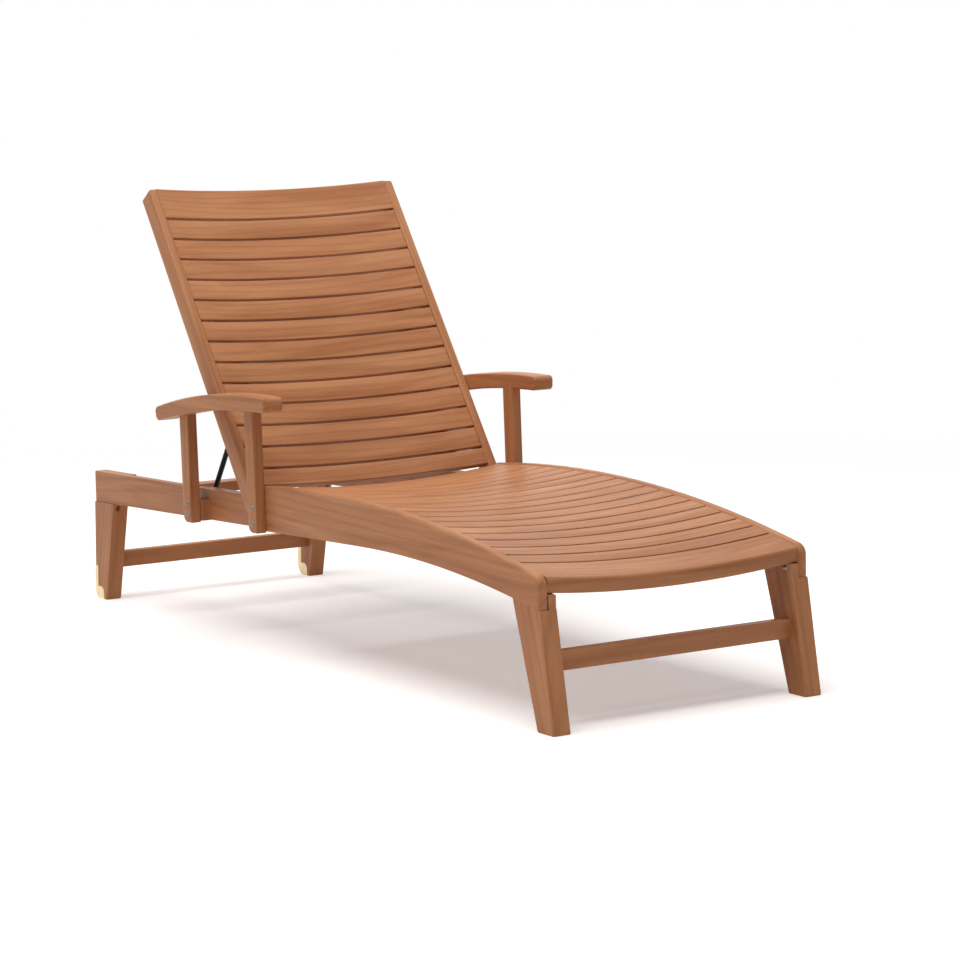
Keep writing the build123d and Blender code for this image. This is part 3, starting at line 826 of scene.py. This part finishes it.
@dataclass
class Studio:
    """White room, soft lamps and the camera."""

    eye: tuple[float, float, float] = (5.6878, -3.5222, 1.2362)
    yaw: float = -57.027
    pitch: float = -7.469
    roll: float = -0.964
    lens_mm: float = 114.952
    sensor_mm: float = 36.0
    sight: float = 200.0
    floor_size: float = 60.0
    floor_colour: str = "#F5F0EE"
    floor_lift: float = 0.375
    floor_fade: Span = Span(1.8, 4.2, 0.0, 1.0)
    room_level: float = 0.185
    room_colour: tuple[float, float, float, float] = (1.0, 0.98, 0.96, 1.0)
    overhead_box: SoftBox = SoftBox("overhead_box", (0.1, -1.1, 6.0), 5.5, 408.0)
    side_box: SoftBox = SoftBox("side_box", (0.6, -4.5, 2.6), 2.4, 5.0)
    aim: tuple[float, float, float] = (0.0, 0.0, 0.4)

    def camera(self) -> None:
        """Make the camera and set it as the scene's own."""
        yaw, pitch, roll = (math.radians(a) for a in (self.yaw, self.pitch, self.roll))
        ahead = Vector(
            (math.sin(yaw) * math.cos(pitch), math.cos(yaw) * math.cos(pitch), math.sin(pitch))
        )
        level = ahead.cross(Vector((0, 0, 1))).normalized()
        above = level.cross(ahead)
        right = math.cos(roll) * level + math.sin(roll) * above
        up = math.cos(roll) * above - math.sin(roll) * level
        data = bpy.data.cameras.new("camera")
        data.sensor_width = self.sensor_mm
        data.lens = self.lens_mm
        data.clip_end = self.sight
        camera = bpy.data.objects.new("camera", data)
        turn = Matrix((right, up, -ahead)).transposed().to_4x4()
        camera.matrix_world = Matrix.Translation(Vector(self.eye)) @ turn
        bpy.context.scene.collection.objects.link(camera)
        bpy.context.scene.camera = camera

    def seen(self, tree: bpy.types.NodeTree) -> bpy.types.NodeSocket:
        """Tell the rays that look at the room from those that light the object.

        Args:
            tree: A material's or the world's tree.

        Returns:
            One for camera, glossy and transmission rays, and zero for the rest.
        """
        path = add_node(tree, "ShaderNodeLightPath").outputs
        looking = path["Is Camera Ray"]
        for kind in ("Is Glossy Ray", "Is Transmission Ray"):
            looking = add_node(
                tree, "ShaderNodeMath", {0: looking, 1: path[kind]}, operation="MAXIMUM"
            ).outputs[0]
        return looking

    def room(self) -> None:
        """Make the world: white to look at, and a softer light on the object."""
        world = bpy.data.worlds.new("white_room")
        bpy.context.scene.world = world
        world.use_nodes = True
        tree = world.node_tree
        tree.nodes.clear()
        light = add_node(
            tree, "ShaderNodeBackground", {"Color": self.room_colour, "Strength": self.room_level}
        )
        white = add_node(tree, "ShaderNodeBackground", {"Color": WHITE, "Strength": 1.0})
        mixed = add_node(
            tree,
            "ShaderNodeMixShader",
            {0: self.seen(tree), 1: light.outputs[0], 2: white.outputs[0]},
        )
        add_node(tree, "ShaderNodeOutputWorld", {"Surface": mixed.outputs[0]})

    def floor(self) -> None:
        """Lay the pale floor, which keeps the lounger's shadow and goes to white around it."""
        half = self.floor_size / 2
        mesh = bpy.data.meshes.new("floor")
        corners = [(-half, -half, 0), (half, -half, 0), (half, half, 0), (-half, half, 0)]
        mesh.from_pydata(corners, [], [(0, 1, 2, 3)])
        floor = bpy.data.objects.new("floor", mesh)
        bpy.context.scene.collection.objects.link(floor)
        mesh.materials.append(self.paper())

    def paper(self) -> bpy.types.Material:
        """Build the floor's white paper: matt, a little lit, and plain white farther away."""
        material = bpy.data.materials.new("studio_paper")
        material.use_nodes = True
        tree = material.node_tree
        tree.nodes.clear()
        matt = add_node(tree, "ShaderNodeBsdfDiffuse", {"Color": linear(self.floor_colour)})
        lift = add_node(tree, "ShaderNodeEmission", {"Color": WHITE, "Strength": self.floor_lift})
        lit = add_node(tree, "ShaderNodeAddShader", {0: matt.outputs[0], 1: lift.outputs[0]})
        place = add_node(tree, "ShaderNodeTexCoord").outputs["Object"]
        away = add_node(tree, "ShaderNodeVectorMath", {0: place}, operation="LENGTH")
        fade = self.floor_fade.level(
            tree, away.outputs["Value"], interpolation_type="SMOOTHSTEP"
        )
        white = add_node(tree, "ShaderNodeEmission", {"Color": WHITE, "Strength": 1.0})
        shown = add_node(
            tree, "ShaderNodeMixShader", {0: fade, 1: lit.outputs[0], 2: white.outputs[0]}
        )
        mixed = add_node(
            tree,
            "ShaderNodeMixShader",
            {0: self.seen(tree), 1: matt.outputs[0], 2: shown.outputs[0]},
        )
        add_node(tree, "ShaderNodeOutputMaterial", {"Surface": mixed.outputs[0]})
        return material

    def build(self) -> None:
        """Make the room, the floor, the lamps and the camera."""
        bpy.context.scene.view_settings.view_transform = "Standard"
        self.room()
        self.floor()
        for box in (self.overhead_box, self.side_box):
            box.hang(Vector(self.aim))
        self.camera()


def main() -> None:
    """Load the solids, dress them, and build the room."""
    logging.basicConfig(level=logging.INFO, format="%(name)s: %(message)s")
    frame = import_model()
    Lounger().dress(frame["nodes"], Teak())
    Studio().build()


if __name__ == "__main__":
    main()
